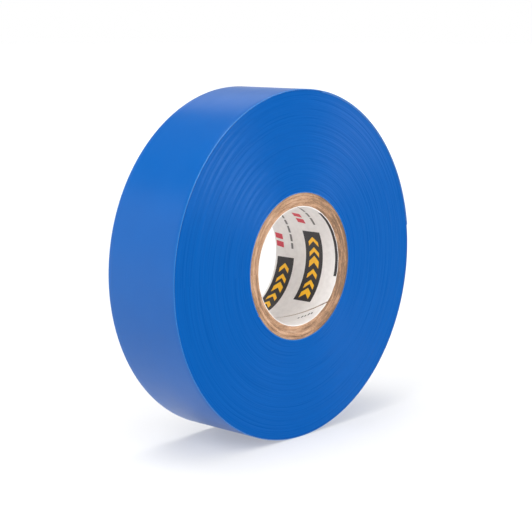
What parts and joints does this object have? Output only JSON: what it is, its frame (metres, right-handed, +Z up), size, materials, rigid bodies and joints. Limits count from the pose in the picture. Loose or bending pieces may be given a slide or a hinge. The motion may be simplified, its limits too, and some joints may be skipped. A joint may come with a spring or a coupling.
{
  "type": "electrical tape roll",
  "caption": "Roll of blue vinyl electrical tape wound on a spiral paperboard core with a printed paper liner; the free end peels off the rim.",
  "frame": {"origin": "middle of the bore, on the axis and half-way through the width", "axes": "+Y along the roll's axis, +Z up with the roll standing on its rim, +X the side where the free end hangs"},
  "size_m": [0.0746, 0.019, 0.0747],
  "materials": {
    "tape_film": "blue calendered vinyl film, semi-gloss",
    "rubber_adhesive": "tacky rubber adhesive, dark, satin",
    "kraft_board": "uncoated kraft paperboard, cut edges fibrous",
    "liner_paper": "white coated paper printed with dark panels and small marks"
  },
  "bodies": {
    "roll": {"core_liner": "liner_paper", "core_ply_1": "kraft_board", "core_ply_2": "kraft_board", "core_ply_3": "kraft_board", "core_ply_4": "kraft_board", "first_turn_adhesive": "rubber_adhesive", "first_turn_film": "tape_film", "wound_tape": "tape_film", "outer_turn_adhesive": "rubber_adhesive", "outer_turn_film": "tape_film"},
    "tail_1": {"tail_film_1": "tape_film", "tail_adhesive_1": "rubber_adhesive"},
    "tail_2": {"tail_film_2": "tape_film", "tail_adhesive_2": "rubber_adhesive"},
    "tail_3": {"tail_film_3": "tape_film", "tail_adhesive_3": "rubber_adhesive"},
    "tail_4": {"tail_film_4": "tape_film", "tail_adhesive_4": "rubber_adhesive"},
    "tail_5": {"tail_film_5": "tape_film", "tail_adhesive_5": "rubber_adhesive"},
    "tail_6": {"tail_film_6": "tape_film", "tail_adhesive_6": "rubber_adhesive"},
    "tail_7": {"tail_film_7": "tape_film", "tail_adhesive_7": "rubber_adhesive"},
    "tail_8": {"tail_film_8": "tape_film", "tail_adhesive_8": "rubber_adhesive"}
  },
  "joints": [
    {"name": "tail_peel", "type": "hinge", "parent": "roll", "child": "tail_1", "pos_m": [0.00651, 0, 0.0369], "axis": [0, -1, 0], "range_deg": [0, 60]},
    {"name": "tail_flex_2", "type": "hinge", "parent": "tail_1", "child": "tail_2", "pos_m": [0.0122, 0, 0.03543], "axis": [0, -1, 0], "range_deg": [0, 9]},
    {"name": "tail_flex_3", "type": "hinge", "parent": "tail_2", "child": "tail_3", "pos_m": [0.01759, 0, 0.03308], "axis": [0, -1, 0], "range_deg": [0, 9]},
    {"name": "tail_flex_4", "type": "hinge", "parent": "tail_3", "child": "tail_4", "pos_m": [0.02255, 0, 0.02992], "axis": [0, -1, 0], "range_deg": [0, 9]},
    {"name": "tail_flex_5", "type": "hinge", "parent": "tail_4", "child": "tail_5", "pos_m": [0.02695, 0, 0.02603], "axis": [0, -1, 0], "range_deg": [0, 9]},
    {"name": "tail_flex_6", "type": "hinge", "parent": "tail_5", "child": "tail_6", "pos_m": [0.03069, 0, 0.02149], "axis": [0, -1, 0], "range_deg": [0, 9]},
    {"name": "tail_flex_7", "type": "hinge", "parent": "tail_6", "child": "tail_7", "pos_m": [0.03368, 0, 0.01643], "axis": [0, -1, 0], "range_deg": [0, 9]},
    {"name": "tail_flex_8", "type": "hinge", "parent": "tail_7", "child": "tail_8", "pos_m": [0.03583, 0, 0.01095], "axis": [0, -1, 0], "range_deg": [0, 9]}
  ],
  "couplings": [
    {"joint": "tail_flex_2", "follows": "tail_peel", "ratio": 0.15},
    {"joint": "tail_flex_3", "follows": "tail_peel", "ratio": 0.15},
    {"joint": "tail_flex_4", "follows": "tail_peel", "ratio": 0.15},
    {"joint": "tail_flex_5", "follows": "tail_peel", "ratio": 0.15},
    {"joint": "tail_flex_6", "follows": "tail_peel", "ratio": 0.15},
    {"joint": "tail_flex_7", "follows": "tail_peel", "ratio": 0.15},
    {"joint": "tail_flex_8", "follows": "tail_peel", "ratio": 0.15}
  ]
}
